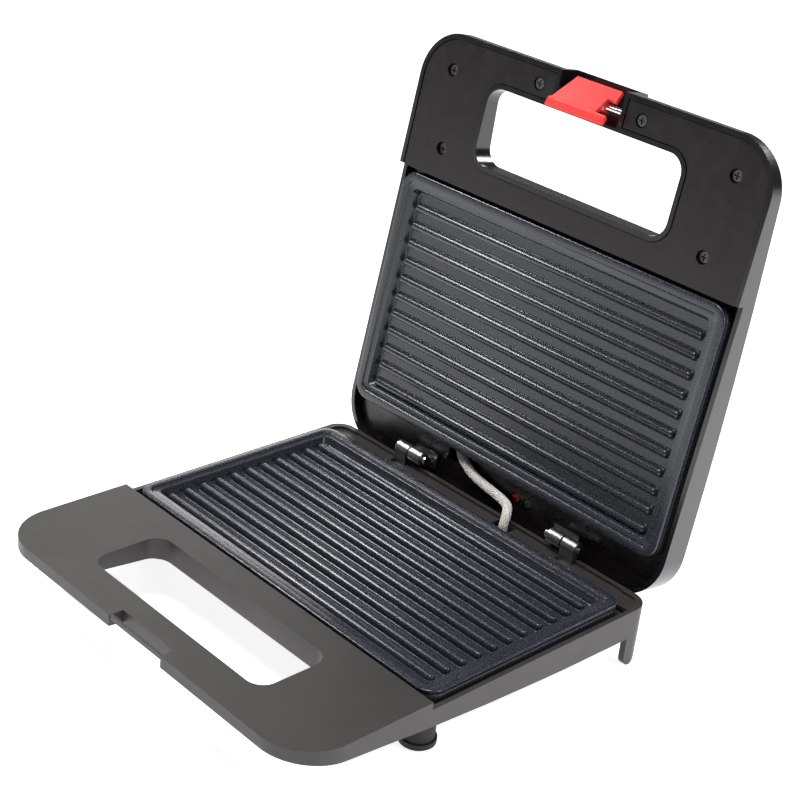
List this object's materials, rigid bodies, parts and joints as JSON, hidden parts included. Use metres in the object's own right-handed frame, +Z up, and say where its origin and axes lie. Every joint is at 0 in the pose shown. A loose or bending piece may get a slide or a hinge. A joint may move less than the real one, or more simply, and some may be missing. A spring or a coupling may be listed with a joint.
{
  "type": "panini press",
  "caption": "Contact grill with two hinged halves, ribbed non-stick plates, slotted handles on both halves and a red latch lever, shown with its lid open.",
  "frame": {"origin": "on the table plane, under the middle of the open press, which is 5.5 mm in front of the heating plates' centre", "axes": "+Z up, +Y from the handles towards the hinge, +X to the right of someone facing the handles"},
  "size_m": [0.23, 0.278, 0.2597],
  "materials": {
    "housing_black": "moulded black phenolic or PBT plastic, satin with a fine grain",
    "underside_black": "moulded black plastic, matt",
    "nonstick_coating": "die-cast aluminium under a dark blue-grey non-stick coating with a fine sparkle",
    "element_steel": "sheathed tubular heating element, heat-tinted steel",
    "pan_steel": "thin aluminised sheet steel",
    "ceramic_parts": "unglazed steatite ceramic",
    "soft_black": "moulded black rubber, matt",
    "screw_steel": "zinc-plated steel screws",
    "dark_screws": "blackened steel screws",
    "hinge_steel": "dark phosphated steel",
    "pin_chrome": "bright plated steel pin",
    "sleeve_braid": "off-white woven glass-fibre sleeve",
    "shell_gloss_black": "high-gloss black moulded plastic",
    "cover_black": "moulded black plastic, satin",
    "lamp_holder_plastic": "natural nylon",
    "lamp_glass": "small neon lamps",
    "lens_red": "clear red moulded lens",
    "lens_green": "clear green moulded lens",
    "latch_red": "coral red moulded plastic, semi-gloss"
  },
  "bodies": {
    "base": {"base_housing": "housing_black", "base_bottom_cover": "underside_black", "base_plate": "nonstick_coating", "base_heating_element": "element_steel", "base_reflector": "pan_steel", "thermostat": "ceramic_parts", "thermal_fuse": "ceramic_parts", "terminal_block": "ceramic_parts", "cord_inlet": "soft_black", "base_cover_screws": "screw_steel", "base_plate_screws": "screw_steel", "front_feet": "soft_black", "base_hinge_brackets": "hinge_steel", "base_hinge_screws": "screw_steel", "hinge_pins": "pin_chrome", "lead_sleeve": "sleeve_braid"},
    "lid": {"lid_shell": "shell_gloss_black", "lid_inner_frame": "cover_black", "lid_plate": "nonstick_coating", "lid_heating_element": "element_steel", "lid_reflector": "pan_steel", "lid_cover_screws": "dark_screws", "lid_plate_screws": "screw_steel", "lid_hinge_brackets": "hinge_steel", "lid_hinge_screws": "screw_steel", "lamp_holder": "lamp_holder_plastic", "indicator_lamps": "lamp_glass", "power_lens": "lens_red", "ready_lens": "lens_green"},
    "latch": {"latch_pin": "pin_chrome", "latch_lever": "latch_red"}
  },
  "joints": [
    {"name": "lid_hinge", "type": "hinge", "parent": "base", "child": "lid", "pos_m": [0, 0.08597, 0.038], "axis": [1, 0, 0], "range_deg": [0, 100], "deforming": ["lead_sleeve"]},
    {"name": "latch_swing", "type": "hinge", "parent": "lid", "child": "latch", "pos_m": [0, 0.12539, 0.24886], "axis": [-1, 0, 0], "range_deg": [0, 54]}
  ],
  "couplings": [
    {"joint": "latch_swing", "follows": "lid_hinge", "ratio": 0.54}
  ]
}
